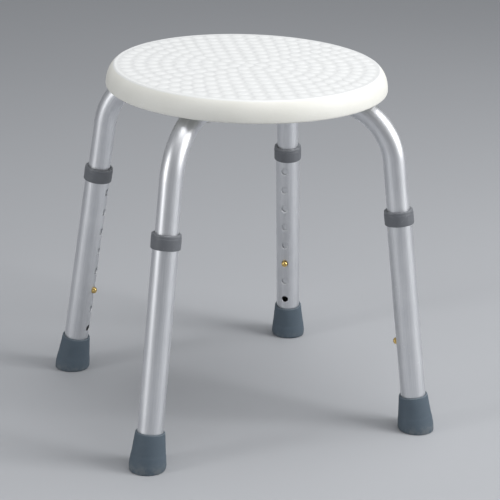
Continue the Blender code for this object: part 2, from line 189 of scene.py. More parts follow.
def turned(name, outline, sides, loop=False, shift=None):
    """A turned skin from an outline of (radius, height); shift may move its finished points."""
    points, rows = [], []
    for radius, height in outline:
        if radius < 1e-7:
            rows.append([len(points)])
            points.append((0.0, 0.0, height))
            continue
        rows.append(list(range(len(points), len(points) + sides)))
        for k in range(sides):
            turn = 2 * pi * k / sides
            points.append((radius * cos(turn), radius * sin(turn), height))
    if shift:
        points = [shift(*point) for point in points]
    return skin(name, points, strip(rows, loop))


def joined(name, meshes):
    """Several skins as one."""
    whole = bmesh.new()
    for mesh in meshes:
        whole.from_mesh(mesh)
        bpy.data.meshes.remove(mesh)
    mesh = bpy.data.meshes.new(name)
    whole.to_mesh(mesh)
    whole.free()
    return mesh


def sewn(mesh):
    """The mesh with its two open edges joined by a band of faces."""
    work = bmesh.new()
    work.from_mesh(mesh)
    edges = [edge for edge in work.edges if edge.is_boundary]
    for face in bmesh.ops.bridge_loops(work, edges=edges)["faces"]:
        face.smooth = True
    work.to_mesh(mesh)
    work.free()
    return mesh


def prism(outline, low, high, ease):
    """An outline of (y, z) drawn along x, its two ends slightly drawn in."""
    middle = sum((Vector(p) for p in outline), Vector((0, 0))) / len(outline)
    points, rows = [], []
    for x, inset in ((low, ease), (low + ease, 0.0), (high - ease, 0.0), (high, ease)):
        rows.append(list(range(len(points), len(points) + len(outline))))
        for y, z in outline:
            inward = middle - Vector((y, z))
            inward.normalize()
            points.append((x, y + inward.x * inset, z + inward.y * inset))
    faces = strip(rows)
    faces += [rows[0][::-1], rows[-1]]
    return skin("prism", points, faces)


def note_values(mesh, label, values, kind="FLOAT"):
    """Keeps one value per point on the mesh for its finish to read."""
    layer = mesh.attributes.new(label, kind, "POINT")
    field = "vector" if kind == "FLOAT_VECTOR" else "value"
    layer.data.foreach_set(field, np.asarray(values, np.float32).ravel())


# Finishes


class Wire:
    """A value inside a finish that can be used in sums."""

    def __init__(self, finish, socket):
        self.finish = finish
        self.socket = socket

    def sum_up(self, operation, first, second):
        return self.finish.node("ShaderNodeMath", {"operation": operation}, [first, second])

    def __add__(self, other):
        return self.sum_up("ADD", self, other)

    def __radd__(self, other):
        return self.sum_up("ADD", other, self)

    def __sub__(self, other):
        return self.sum_up("SUBTRACT", self, other)

    def __rsub__(self, other):
        return self.sum_up("SUBTRACT", other, self)

    def __mul__(self, other):
        return self.sum_up("MULTIPLY", self, other)

    def __rmul__(self, other):
        return self.sum_up("MULTIPLY", other, self)


class Finish:
    """One material, made node by node round its surface shader."""

    def __init__(self, name, **uniform):
        self.material = bpy.data.materials.new(name)
        self.material.use_nodes = True
        self.tree = self.material.node_tree
        self.surface = self.tree.nodes["Principled BSDF"]
        for socket, value in uniform.items():
            self.surface.inputs[socket.replace("_", " ")].default_value = value

    def node(self, kind, settings=None, values=None, output=0):
        """Any node: its settings first, then the values or wires of its sockets."""
        made = self.tree.nodes.new(kind)
        for name, value in (settings or {}).items():
            setattr(made, name, value)
        given = values if isinstance(values, dict) else dict(enumerate(values or []))
        for socket, value in given.items():
            if isinstance(value, Wire):
                self.tree.links.new(value.socket, made.inputs[socket])
            else:
                made.inputs[socket].default_value = value
        return Wire(self, made.outputs[output])

    def feed(self, **wires):
        """Leads wires to the surface shader's own sockets."""
        for socket, wire in wires.items():
            self.tree.links.new(wire.socket, self.surface.inputs[socket.replace("_", " ")])

    def place(self, carried=False):
        """Where a point lies on its piece, in metres; a carried-over CAD node keeps no such value."""
        return self.node("ShaderNodeTexCoord", output=3) if carried else self.kept("lie", 1)

    def kept(self, label, output=2):
        """A value that the piece's mesh keeps: output 1 is a place, 2 a number."""
        return self.node("ShaderNodeAttribute", {"attribute_name": label}, output=output)

    def stretched(self, place, x, y, z):
        return self.node("ShaderNodeVectorMath", {"operation": "MULTIPLY"}, [place, (x, y, z)])

    def part(self, place, axis):
        return self.node("ShaderNodeSeparateXYZ", None, [place], output="XYZ".index(axis))

    def cloud(self, place, size, detail, roughness=0.5):
        """Soft random values from 0 to 1, with features about that many metres across."""
        values = {"Vector": place, "Scale": 1.0 / size, "Detail": detail, "Roughness": roughness}
        return self.node("ShaderNodeTexNoise", None, values)

    def cells(self, place, size):
        """Random cells about that many metres across: distance from each cell's heart."""
        values = {"Vector": place, "Scale": 1.0 / size}
        return self.node("ShaderNodeTexVoronoi", None, values)

    def between(self, value, low, high):
        """0 below low, 1 above high, and a smooth rise between them."""
        settings = {"interpolation_type": "SMOOTHSTEP", "clamp": True}
        return self.node("ShaderNodeMapRange", settings, [value, low, high, 0.0, 1.0])

    def tinted(self, mask, first, second):
        """A colour that goes from first to second with the mask."""
        values = {0: mask}
        for socket, colour in ((6, first), (7, second)):
            values[socket] = colour if isinstance(colour, Wire) else (*colour, 1.0)
        return self.node("ShaderNodeMix", {"data_type": "RGBA"}, values, output=2)

    def relief(self, height, depth, strength, under=None):
        """A surface relief that many metres deep."""
        values = {"Strength": strength, "Distance": depth, "Height": height}
        if under is not None:
            values["Normal"] = under
        return self.node("ShaderNodeBump", None, values)

    def scratches(self, place, fineness, seed):
        """Sparse thin hairlines in one slanting direction."""
        slant = self.node("ShaderNodeMapping", None,
                          {"Vector": place, "Rotation": (0.3 * seed, 0.5 * seed, 1.1 * seed)})
        line = self.cloud(self.stretched(slant, 1.0, 0.035, 0.2), fineness, 1.0)
        patch = self.cloud(place, 0.03, 1.0)
        return self.between(line, 0.69, 0.74) * self.between(patch, 0.5, 0.62)


def ivory_plastic():
    """The seat's moulded plastic: ivory down the rim, with painted light making the top whiter and painted
    shade between the bumps.
    """
    f = Finish("ivory_plastic", IOR=1.46)
    at = f.place()
    rise = f.kept("rise")
    # Painted light: the top face, down to just under the crest, is painted whiter and cooler than the rim,
    # as the light from above falls there.
    top = f.between(f.part(at, "Z"), SEAT_HEIGHT - 2.4 * MM, SEAT_HEIGHT - 0.9 * MM)
    mottle = f.cloud(at, 0.045, 3.0)
    speck = f.between(f.cloud(at, 0.0016, 2.0), 0.66, 0.74)
    # Painted shade: the valleys between the bumps, where the rise is low, are painted darker grey, in uneven
    # patches.
    painted_valley_shade = (1 - rise) * (0.55 + 0.9 * f.cloud(at, 0.02, 3.0))
    scuff = f.scratches(at, 0.0011, 1.0) + f.scratches(at, 0.0014, 2.3)
    body = f.tinted(f.between(mottle, 0.3, 0.7), (0.800, 0.792, 0.735), (0.835, 0.828, 0.775))
    # The painted light on the top is tinted in here.
    body = f.tinted(top, body, (0.835, 0.842, 0.838))
    # The painted valley shade is tinted in here.
    body = f.tinted(painted_valley_shade * 0.30, body, (0.56, 0.565, 0.56))
    body = f.tinted(speck * 0.08, body, (0.66, 0.64, 0.56))
    body = f.tinted(scuff * 0.22, body, (0.93, 0.93, 0.91))
    rough = 0.46 + 0.10 * f.cloud(at, 0.008, 3.0) + 0.10 * (1 - rise) + 0.10 * scuff
    peel = f.relief(f.cloud(at, 0.0042, 2.0), 0.00020, 0.45)
    grain = f.relief(f.cloud(at, 0.00075, 2.0) - 0.5 * scuff, 0.00007, 0.9, peel)
    f.feed(Base_Color=body, Roughness=rough, Normal=grain)
    return f.material


def drawn_aluminium(name, tone):
    """Satin anodised tube: long drawing lines, cloudy sheen, a few handling marks."""
    f = Finish(name, Metallic=1.0)
    at = f.place()
    lines = f.cloud(f.stretched(at, 1.0, 1.0, 0.012), 0.00055, 3.0, 0.65)
    wide = f.cloud(f.stretched(at, 1.0, 1.0, 0.03), 0.006, 2.0)
    haze = f.cloud(at, 0.035, 3.0)
    marks = f.scratches(at, 0.0009, 0.6) + f.scratches(at, 0.0012, 1.9)
    drops = f.between(f.cells(at, 0.011), 0.13, 0.08) * f.between(haze, 0.52, 0.6)
    light = tuple(c * tone for c in (0.80, 0.81, 0.83))
    dark = tuple(c * tone for c in (0.70, 0.71, 0.735))
    body = f.tinted(f.between(lines, 0.32, 0.68), dark, light)
    body = f.tinted(f.between(haze, 0.35, 0.75) * 0.35, body, tuple(c * tone for c in (0.86, 0.865, 0.88)))
    body = f.tinted(marks * 0.5, body, (0.92, 0.92, 0.93))
    body = f.tinted(drops * 0.22, body, (0.93, 0.93, 0.92))
    rough = 0.33 + 0.09 * lines + 0.07 * haze + 0.05 * wide + 0.12 * drops - 0.06 * marks
    hair = f.relief(lines, 0.00003, 0.55)
    f.feed(Base_Color=body, Roughness=rough, Normal=f.relief(wide - 0.4 * marks, 0.00004, 0.5, hair))
    return f.material


def grey_nylon(name="grey_nylon"):
    """The collars' and plugs' moulded plastic: fine spark texture, with a painted highlight along the lip.
    """
    f = Finish(name, IOR=1.5)
    at = f.place()
    height = f.part(at, "Z")
    mottle = f.cloud(at, 0.009, 3.0)
    # Painted highlight: the rounded top of the collar's lip is painted paler in patches, where light from
    # above falls on it; the plugs sit higher than the lip, so they get it all over.
    lip_highlight = f.between(height, COLLAR_TOP - 3.4 * MM, COLLAR_TOP - 0.6 * MM)
    lip_highlight = lip_highlight * f.between(f.cloud(at, 0.005, 2.0), 0.25, 0.7)
    scuff = f.scratches(at, 0.0008, 1.4)
    body = f.tinted(mottle, (0.122, 0.130, 0.144), (0.158, 0.167, 0.182))
    body = f.tinted(lip_highlight * 0.45, body, (0.27, 0.28, 0.295))
    body = f.tinted(scuff * 0.5, body, (0.30, 0.31, 0.32))
    rough = 0.40 + 0.16 * mottle - 0.07 * lip_highlight + 0.1 * scuff
    spark = f.relief(f.cloud(at, 0.0006, 2.0, 0.7), 0.00006, 0.8)
    f.feed(Base_Color=body, Roughness=rough, Normal=spark)
    return f.material


def slate_rubber():
    """The tips' rubber: matt, finely pitted with painted shade in the pits, dusty round the base, with a
    painted highlight at the mouth.
    """
    f = Finish("slate_rubber", IOR=1.5)
    at = f.place()
    height = f.part(at, "Z")
    mottle = f.cloud(at, 0.012, 4.0)
    dust = (1 - f.between(height, 0.001, 0.013)) * f.between(f.cloud(at, 0.006, 4.0, 0.65), 0.35, 0.7)
    # Painted highlight: a thin band just under the mouth is painted paler, where light from above catches
    # the rounded top edge.
    mouth = f.between(height, TIP_HEIGHT - 1.6 * MM, TIP_HEIGHT - 0.4 * MM)
    pits = f.between(f.cells(at, 0.0017), 0.25, 0.12)
    rings = f.cloud(f.stretched(at, 0.02, 0.02, 1.0), 0.0011, 2.0)
    body = f.tinted(mottle, (0.067, 0.094, 0.121), (0.093, 0.125, 0.156))
    # The painted highlight at the mouth is tinted in here.
    body = f.tinted(mouth * 0.4, body, (0.17, 0.20, 0.225))
    body = f.tinted(dust * 0.42, body, (0.235, 0.245, 0.245))
    # Painted shade: the pits are painted darker, as shade falls in them.
    body = f.tinted(pits * 0.25, body, (0.045, 0.06, 0.078))
    rough = 0.60 + 0.18 * mottle + 0.14 * dust
    moulded = f.relief(rings, 0.00014, 0.6)
    pitted = f.relief(f.cloud(at, 0.0009, 3.0, 0.6) - 0.6 * pits, 0.00012, 0.9, moulded)
    f.feed(Base_Color=body, Roughness=rough, Normal=pitted)
    return f.material


def turned_brass(name, carried=False):
    """Bare brass with fine turning rings and a little tarnish."""
    f = Finish(name, Metallic=1.0)
    at = f.place(carried)
    tarnish = f.cloud(at, 0.0026, 4.0, 0.6)
    rings = f.cloud(f.stretched(at, 1.0, 0.05, 0.05), 0.00022, 1.0)
    spots = f.between(f.cloud(at, 0.0009, 2.0), 0.62, 0.7)
    body = f.tinted(f.between(tarnish, 0.35, 0.7), (0.86, 0.63, 0.24), (0.68, 0.46, 0.16))
    body = f.tinted(spots * 0.5, body, (0.42, 0.27, 0.10))
    rough = 0.16 + 0.14 * tarnish + 0.10 * spots + 0.05 * rings
    f.feed(Base_Color=body, Roughness=rough, Normal=f.relief(rings - 0.4 * spots, 0.00003, 0.6))
    return f.material


def zinc_plate(name, carried=False):
    """Zinc plating on the screws and washers: pale crystals with a faint yellow cast."""
    f = Finish(name, Metallic=1.0)
    at = f.place(carried)
    bloom = f.cloud(at, 0.004, 4.0, 0.6)
    crystal = f.cells(at, 0.0012)
    body = f.tinted(bloom, (0.60, 0.60, 0.585), (0.74, 0.735, 0.70))
    body = f.tinted(f.between(crystal, 0.1, 0.6) * 0.2, body, (0.50, 0.50, 0.50))
    rough = 0.28 + 0.2 * bloom + 0.08 * crystal
    f.feed(Base_Color=body, Roughness=rough, Normal=f.relief(crystal, 0.00004, 0.5))
    return f.material


def spring_steel():
    """Blued strip steel with rolling lines."""
    f = Finish("spring_steel", Metallic=1.0)
    at = f.place(carried=True)
    lines = f.cloud(f.stretched(at, 1.0, 1.0, 0.04), 0.0006, 2.0)
    bloom = f.cloud(at, 0.006, 3.0)
    body = f.tinted(bloom, (0.36, 0.37, 0.40), (0.52, 0.52, 0.53))
    rough = 0.25 + 0.2 * lines
    f.feed(Base_Color=body, Roughness=rough, Normal=f.relief(lines, 0.00003, 0.5))
    return f.material


def studio_floor():
    """A plain pale floor with the faintest unevenness."""
    f = Finish("studio_floor")
    at = f.place(carried=True)
    drift = f.cloud(at, 0.9, 2.0)
    body = f.tinted(drift, (0.42, 0.43, 0.45), (0.45, 0.46, 0.48))
    f.feed(Base_Color=body, Roughness=0.62 + 0.1 * f.cloud(at, 0.05, 3.0))
    return f.material


# The seat


def bump_rise(x, y):
    """How far the field stands up at a point, from 0 in the valleys to 1 on a bump's top."""
    reach = np.hypot(x, y)
    turn = np.arctan2(y, x)
    rise = np.zeros_like(reach)
    for ring in (np.floor(reach / BUMP_PITCH), np.floor(reach / BUMP_PITCH) + 1):
        count = np.maximum(6 * ring, 1)
        step = 2 * pi / count
        nearest = (np.round(turn / step - 0.5) + 0.5) * step
        gap = np.hypot(x - ring * BUMP_PITCH * np.cos(nearest), y - ring * BUMP_PITCH * np.sin(nearest))
        slope = np.clip((BUMP_RADIUS - gap) / BUMP_SHOULDER, 0, 1)
        slope = slope * slope * (3 - 2 * slope)
        crown = 1 - np.clip(gap / BUMP_RADIUS, 0, 1) ** 2
        height = slope * (BUMP_BROW + (1 - BUMP_BROW) * crown)
        rise = np.maximum(rise, np.where(ring <= BUMP_RINGS, height, 0))
    return rise


def rim_line():
    """The rim's outer side: the oval flank from under the crest, and the lip to the lower edge."""
    widest = SEAT_EDGE + RIM_LIP
    start = acos((RIM_TOP - widest) / RIM_OVAL)
    line = []
    for step in range(FLANK_STEPS + 1):
        turn = start + (pi / 2 - start) * step / FLANK_STEPS
        line.append((SEAT_RADIUS - RIM_REACH * (1 - sin(turn)), widest + RIM_OVAL * cos(turn)))
    for step in range(1, LIP_STEPS + 1):
        turn = step / LIP_STEPS * pi / 2
        line.append((SEAT_RADIUS - RIM_LIP * (1 - cos(turn)), widest - RIM_LIP * sin(turn)))
    return line


def seat_outside():
    """The bumpy field and the rounded rim, down round the lip and a little way up inside."""
    gap = FIELD_RADIUS / FIELD_RINGS
    points, rows = [(0.0, 0.0)], [[0]]
    for ring in range(1, FIELD_RINGS + 1):
        rows.append(list(range(len(points), len(points) + 6 * ring)))
        turns = 2 * pi * np.arange(6 * ring) / (6 * ring)
        points += list(zip(ring * gap * np.cos(turns), ring * gap * np.sin(turns)))
    flat = np.array(points)
    rise = bump_rise(flat[:, 0], flat[:, 1])
    heights = FIELD_LEVEL + BUMP_RISE * rise
    faces = []
    for ring in range(1, FIELD_RINGS + 1):
        inner, outer = rows[ring - 1], rows[ring]
        for side in range(6):
            for k in range(ring):
                a = outer[side * ring + k]
                b = outer[(side * ring + k + 1) % (6 * ring)]
                c = inner[(side * (ring - 1) + k) % len(inner)]
                faces.append((a, b, c))
                if k < ring - 1:
                    d = inner[(side * (ring - 1) + k + 1) % len(inner)]
                    faces.append((c, b, d))
    flank = rim_line()
    crest = eased([(FIELD_RADIUS + 0.5 * MM, FIELD_LEVEL, 0),
                   (CREST_RADIUS, CREST_LEVEL, 2.6 * MM), (*flank[0], 0)], 8)[:-1]
    lip = eased([(*flank[-1], 0), (SEAT_INSIDE, SEAT_EDGE, 0.8 * MM),
                 (SEAT_INSIDE, SEAM[0], 0)], 4)[1:]
    outline = [*crest, *flank, *lip]
    around = 6 * FIELD_RINGS
    turns = 2 * pi * np.arange(around) / around
    solid = [(x, y, z) for (x, y), z in zip(flat, heights)]
    for radius, height in outline:
        rows.append(list(range(len(solid), len(solid) + around)))
        solid += [(radius * c, radius * s, height) for c, s in zip(np.cos(turns), np.sin(turns))]
    faces += strip(rows[FIELD_RINGS:])
    mesh = skin("seat_outside", solid, faces, 60)
    # The rim's rows get rise values too, which set their painted valley shade: from 0.3 at the field's edge
    # up to 1 across the crest, and 1, with no painted shade, down the rim and inside the lip.
    rise = np.concatenate([rise, np.linspace(0.3, 1.0, len(crest)).repeat(around),
                           np.ones((len(outline) - len(crest)) * around)])
    note_values(mesh, "rise", rise)
    return mesh


def seat_underside():
    """The turned underside: inside of the wall, panel, two ring ribs and the hub."""
    corners = [(SEAT_INSIDE, SEAM[1], 0), (SEAT_INSIDE, PANEL_UNDER, 7.5 * MM)]
    half = RIB_THICKNESS / 2
    for radius in RING_RIBS:
        corners += [(radius + half + 0.25 * MM, PANEL_UNDER, 1.2 * MM), (radius + half, RIB_LEVEL, 0.6 * MM)]
        corners += [(radius - half, RIB_LEVEL, 0.6 * MM), (radius - half - 0.25 * MM, PANEL_UNDER, 1.2 * MM)]
    corners += [(HUB_RADIUS, PANEL_UNDER, 1.2 * MM), (HUB_RADIUS - 0.2 * MM, RIB_LEVEL, 0.8 * MM)]
    corners += [(4.2 * MM, RIB_LEVEL, 0.2 * MM), (3.6 * MM, RIB_LEVEL + 0.7 * MM, 0.3 * MM)]
    corners += [(1.3 * MM, RIB_LEVEL + 0.7 * MM, 0.1 * MM), (1.0 * MM, RIB_LEVEL + 0.1 * MM, 0.2 * MM)]
    corners.append((0, RIB_LEVEL + 0.05 * MM, 0))
    return turned("seat_underside", eased(corners, 3), UNDERSIDE_SIDES)


def radial_ribs():
    """Tapered ribs from the hub, or from the inner ring, out to the wall."""
    made = []
    half = RIB_THICKNESS / 2
    root = PANEL_UNDER + MM
    section = eased([(-half - 0.25 * MM, root, 0), (-half, RIB_LEVEL + 0.3 * MM, 0.7 * MM),
                     (half, RIB_LEVEL + 0.3 * MM, 0.7 * MM), (half + 0.25 * MM, root, 0)], 3)
    for number in range(RADIAL_RIBS):
        start = HUB_RADIUS - 2 * MM if number % 2 else RING_RIBS[1]
        rib = prism(section, start, SEAT_INSIDE + MM, 0.1 * MM)
        for point in rib.vertices:
            over = point.co.x + point.co.z - SEAT_INSIDE - PANEL_UNDER + RIB_SLANT
            if over > 0:
                point.co.x -= over
        rib.transform(Matrix.Rotation(2 * pi * (number + 0.5) / RADIAL_RIBS, 4, "Z"))
        made.append(rib)
    return made


def saddles():
    """The grooved blocks that the leg tubes are clamped up into."""
    made = []
    groove = UPPER_RADIUS + FIT
    lift = SADDLE_LOW - ARM_HEIGHT
    mouth = asin(lift / groove)
    arc = [(groove * cos(t), ARM_HEIGHT + groove * sin(t)) for t in np.linspace(mouth, pi - mouth, 25)]
    root = PANEL_UNDER + MM
    right = eased([(SADDLE_HALF, root, 0), (SADDLE_HALF - 0.2 * MM, SADDLE_LOW, 1.2 * MM), (*arc[0], 0)], 4)
    left = [(-y, z) for y, z in right[::-1]]
    for bearing in LEG_BEARINGS.values():
        block = prism([*right, *arc[1:-1], *left], *SADDLE_SPAN, 0.5 * MM)
        block.transform(Matrix.Rotation(radians(bearing), 4, "Z"))
        made.append(block)
    return made


def seat_mesh():
    """The whole moulding: its outside and underside sewn together, with the ribs and saddles."""
    outside = seat_outside()
    others = [seat_underside(), *radial_ribs(), *saddles()]
    # Rise 0.9 gives the underside, ribs and saddles a faint painted shade and a little more roughness in the
    # seat's finish.
    for mesh in others:
        note_values(mesh, "rise", np.full(len(mesh.vertices), 0.9))
    return sewn(joined("seat_moulding", [outside, *others]))


# The legs


def upper_line():
    """The upper tube's centre line and its side, from the tail up the leg, round the bend and in."""
    foot = Vector((FOOT_CIRCLE, 0, 0))
    up = Vector((-sin(SPLAY), 0, cos(SPLAY)))
    aside = Vector((-cos(SPLAY), 0, -sin(SPLAY)))
    turn = pi / 2 - SPLAY
    bend_start = foot + up * (ARM_HEIGHT / cos(SPLAY) - BEND_RADIUS * tan(turn / 2))
    centre = bend_start + aside * BEND_RADIUS
    line = [(foot + up * UPPER_TAIL, aside)]
    for step in range(BEND_STEPS + 1):
        part = turn * step / BEND_STEPS
        towards = aside * cos(part) - up * sin(part)
        line.append((centre - towards * BEND_RADIUS, towards))
    line.append((Vector((ARM_INNER_END, 0, ARM_HEIGHT)), Vector((0, 0, -1))))
    return line


def hole_turns():
    """The directions of the points round a hole, from the lower corner of its square border."""
    return np.linspace(-0.75 * pi, 1.25 * pi, 4 * DRILLED_COLUMNS, endpoint=False)


def drilled_wall(radius, bottom, top, hole, centres, points):
    """One wall of a tube, with a hole at each height; gives its faces, end rows and hole edges."""
    around, up = DRILLED_SIDES, DRILLED_COLUMNS
    arc = 2 * pi / around
    first = centres[0] - SETTING_PITCH / 2
    heights = [bottom, (bottom + first) / 2]
    heights += [first + SETTING_PITCH * k / up for k in range(len(centres) * up + 1)]
    heights += [top]
    base = len(points)
    for height in heights:
        for k in range(around):
            turn = pi + arc * (k - up // 2)
            points.append((radius * cos(turn), radius * sin(turn), height))

    def number(row, k):
        return base + row * around + k % around

    faces, edges = [], []
    for row in range(len(heights) - 1):
        holed = 2 <= row < 2 + len(centres) * up
        for k in range(up if holed else 0, around):
            faces.append((number(row, k), number(row, k + 1), number(row + 1, k + 1), number(row + 1, k)))
    for order, centre in enumerate(centres):
        low = 2 + order * up
        border = [(low, k) for k in range(up)] + [(low + k, up) for k in range(up)]
        border += [(low + up, up - k) for k in range(up)] + [(low + up - k, 0) for k in range(up)]
        outer = [number(row, k) for row, k in border]
        for share in HOLE_SHARES:
            ring = []
            for (row, k), turn in zip(border, hole_turns()):
                rim = (asin(hole * cos(turn) / radius), centre + hole * sin(turn))
                edge = (arc * (k - up // 2), heights[row])
                angle = rim[0] * (1 - share) + edge[0] * share + pi
                ring.append(len(points))
                points.append((radius * cos(angle), radius * sin(angle),
                               rim[1] * (1 - share) + edge[1] * share))
            faces += strip([outer, ring])
            outer = ring
        edges.append(outer)
    ends = [[number(row, k) for k in range(around)] for row in (0, len(heights) - 1)]
    return faces, ends, edges


def drilled_edge(radius, centres, points):
    """The row of points just inside each hole's eased edge."""
    rows = []
    for centre in centres:
        ring = []
        for turn in hole_turns():
            angle = asin(HOLE_RADIUS * cos(turn) / radius) + pi
            ring.append(len(points))
            points.append((radius * cos(angle), radius * sin(angle), centre + HOLE_RADIUS * sin(turn)))
        rows.append(ring)
    return rows


def drilled_tube(radius, inside, bottom, top, centres, points):
    """Both walls of a drilled tube, joined through its holes; gives its faces and end rows."""
    faces, ends, edges = drilled_wall(radius, bottom, top, HOLE_RADIUS + HOLE_EASE, centres, points)
    middle = drilled_edge(radius - HOLE_EASE, centres, points)
    inner_faces, inner_ends, inner_edges = drilled_wall(inside, bottom, top, HOLE_RADIUS, centres, points)
    faces += inner_faces
    for rows in zip(edges, middle, inner_edges):
        faces += strip(rows)
    return faces, ends, inner_ends


def upper_tube_mesh():
    """The bent tube with its button hole, wall and eased ends; it keeps its unrolled lie."""
    ease = UPPER_EASE
    drilled = []
    faces, ends, inner_ends = drilled_tube(UPPER_RADIUS, UPPER_BORE, UPPER_TAIL + ease,
                                           BUTTON_HEIGHT + 20 * MM, [BUTTON_HEIGHT], drilled)
    lean = Matrix.Translation((FOOT_CIRCLE, 0, 0)) @ Matrix.Rotation(-SPLAY, 4, "Y")
    points = [lean @ Vector(point) for point in drilled]
    lie = [(-x, y, z - UPPER_TAIL) for x, y, z in drilled]

    def ring(place, side, radius, run):
        number = list(range(len(points), len(points) + DRILLED_SIDES))
        for k in range(DRILLED_SIDES):
            turn = 2 * pi * (DRILLED_COLUMNS / 2 - k) / DRILLED_SIDES
            points.append(place + side * radius * cos(turn) + Vector((0, radius * sin(turn), 0)))
            lie.append((radius * cos(turn), radius * sin(turn), run))
        return number

    line = upper_line()
    runs = [0.0]
    for (place, _), (onward, _) in zip(line, line[1:]):
        runs.append(runs[-1] + (onward - place).length)
    end, side = line[-1]
    eased_end = end + (line[-2][0] - end).normalized() * ease
    stops = [*zip(line[1:-1], runs[1:-1]), ((eased_end, side), runs[-1] - ease)]
    rows = [ends[1], *(ring(*stop, UPPER_RADIUS, run) for stop, run in stops)]
    rows += [ring(end, side, radius, runs[-1]) for radius in (UPPER_RADIUS - ease, UPPER_BORE + ease)]
    rows += [ring(*stop, UPPER_BORE, run) for stop, run in stops[::-1]]
    faces += strip([*rows, inner_ends[1]])
    tail = [ring(*line[0], radius, 0.0) for radius in (UPPER_RADIUS - ease, UPPER_BORE + ease)]
    faces += strip([ends[0], *tail, inner_ends[0]])
    mesh = skin("upper_tube", points, faces)
    note_values(mesh, "lie", lie, "FLOAT_VECTOR")
    return mesh


def lower_tube_mesh():
    """The drilled outer tube, its holes and ends slightly eased."""
    points = []
    ease = LOWER_EASE
    top = COLLAR_TOP - COLLAR_LIP - FIT
    centres = [LOWEST_HOLE + setting * SETTING_PITCH for setting in range(SETTINGS)]
    faces, ends, inner_ends = drilled_tube(LOWER_RADIUS, LOWER_BORE, LOWER_BOTTOM + ease, top - ease,
                                           centres, points)
    for outer, inner, level in ((ends[0], inner_ends[0], LOWER_BOTTOM), (ends[1], inner_ends[1], top)):
        rows = [outer]
        for radius in (LOWER_RADIUS - ease, LOWER_BORE + ease):
            rows.append(list(range(len(points), len(points) + len(outer))))
            for k in outer:
                side = Vector(points[k][:2]).normalized() * radius
                points.append((side.x, side.y, level))
        faces += strip([*rows, inner])
    return skin("lower_tube", points, faces, 50)


def collar_mesh():
    """The bush: a plain band, a soft shoulder and a thin lip that closes on the upper tube."""
    wide = LOWER_RADIUS + FIT
    narrow = UPPER_RADIUS + FIT
    corners = [(wide, COLLAR_BOTTOM, 0.3 * MM), (COLLAR_RADIUS - 0.15 * MM, COLLAR_BOTTOM, 0.6 * MM),
               (COLLAR_RADIUS, COLLAR_TOP - 4.2 * MM, 0.5 * MM),
               (COLLAR_RADIUS - 0.3 * MM, COLLAR_TOP - 3.9 * MM, 0.3 * MM),
               (COLLAR_RADIUS - 0.3 * MM, COLLAR_TOP, 2.2 * MM),
               (narrow, COLLAR_TOP, 0.4 * MM), (narrow, COLLAR_TOP - COLLAR_LIP, 0.3 * MM),
               (wide, COLLAR_TOP - COLLAR_LIP, 0.2 * MM)]
    return turned("collar", eased(corners, 6, loop=True), 56, loop=True)


def rubber_tip_mesh():
    """The flared foot with a step, an eased mouth and a ringed tread level with the floor."""
    mouth = LOWER_RADIUS + FIT
    flare = (TIP_SLEEVE + TIP_BASE) / 2
    tread = TIP_BASE * sin(SPLAY) + 2 * MM
    groove = TREAD_GROOVE
    corners = [(0, groove, 0)]
    for ring in TREAD_RINGS:
        corners += [(ring - 1.0 * MM, groove, 0.2 * MM), (ring - 0.7 * MM, 0, 0.2 * MM)]
        corners += [(ring + 1.7 * MM, 0, 0.2 * MM), (ring + 2.0 * MM, groove, 0.2 * MM)]
    corners += [(18.0 * MM, groove, 0.2 * MM), (18.3 * MM, 0, 0.2 * MM)]
    corners += [(TIP_BASE - 0.6 * MM, 0, 0.9 * MM), (TIP_BASE, tread, 1.5 * MM)]
    corners += [(flare + 1.15 * TIP_STEP, TIP_STEP_HEIGHT - MM, 1.6 * MM),
                (flare + 0.5 * TIP_STEP, TIP_STEP_HEIGHT + TIP_STEP, 2.2 * MM),
                (TIP_SLEEVE, TIP_HEIGHT - 0.9 * MM, 0.5 * MM), (TIP_SLEEVE - 0.7 * MM, TIP_HEIGHT, 0.5 * MM),
                (mouth, TIP_HEIGHT, 0.3 * MM), (mouth, TIP_FLOOR, 0.5 * MM), (0, TIP_FLOOR, 0)]

    def level(x, y, z):
        return x, y, z - x * tan(SPLAY) * max(0.0, 1 - max(0.0, z - groove) / (tread - groove))

    return turned("rubber_tip", eased(corners, 4), 72, shift=level)


def snap_button_mesh():
    """The domed pin: a stem in the tubes and a polished round end."""
    corners = [(0, BUTTON_INNER, 0), (BUTTON_RADIUS, BUTTON_INNER, 0.3 * MM)]
    outline = eased([*corners, (BUTTON_RADIUS, BUTTON_TIP - 3.0 * MM, 0)], 3)
    for step in range(DOME_STEPS + 1):
        turn = step / DOME_STEPS * pi / 2
        outline.append((BUTTON_RADIUS * cos(turn), BUTTON_TIP - BUTTON_DOME + BUTTON_DOME * sin(turn)))
    outline[-1] = (0, BUTTON_TIP)
    mesh = turned("snap_button", outline, 40)
    mesh.transform(Matrix.Rotation(-pi / 2, 4, "Y"))
    return mesh


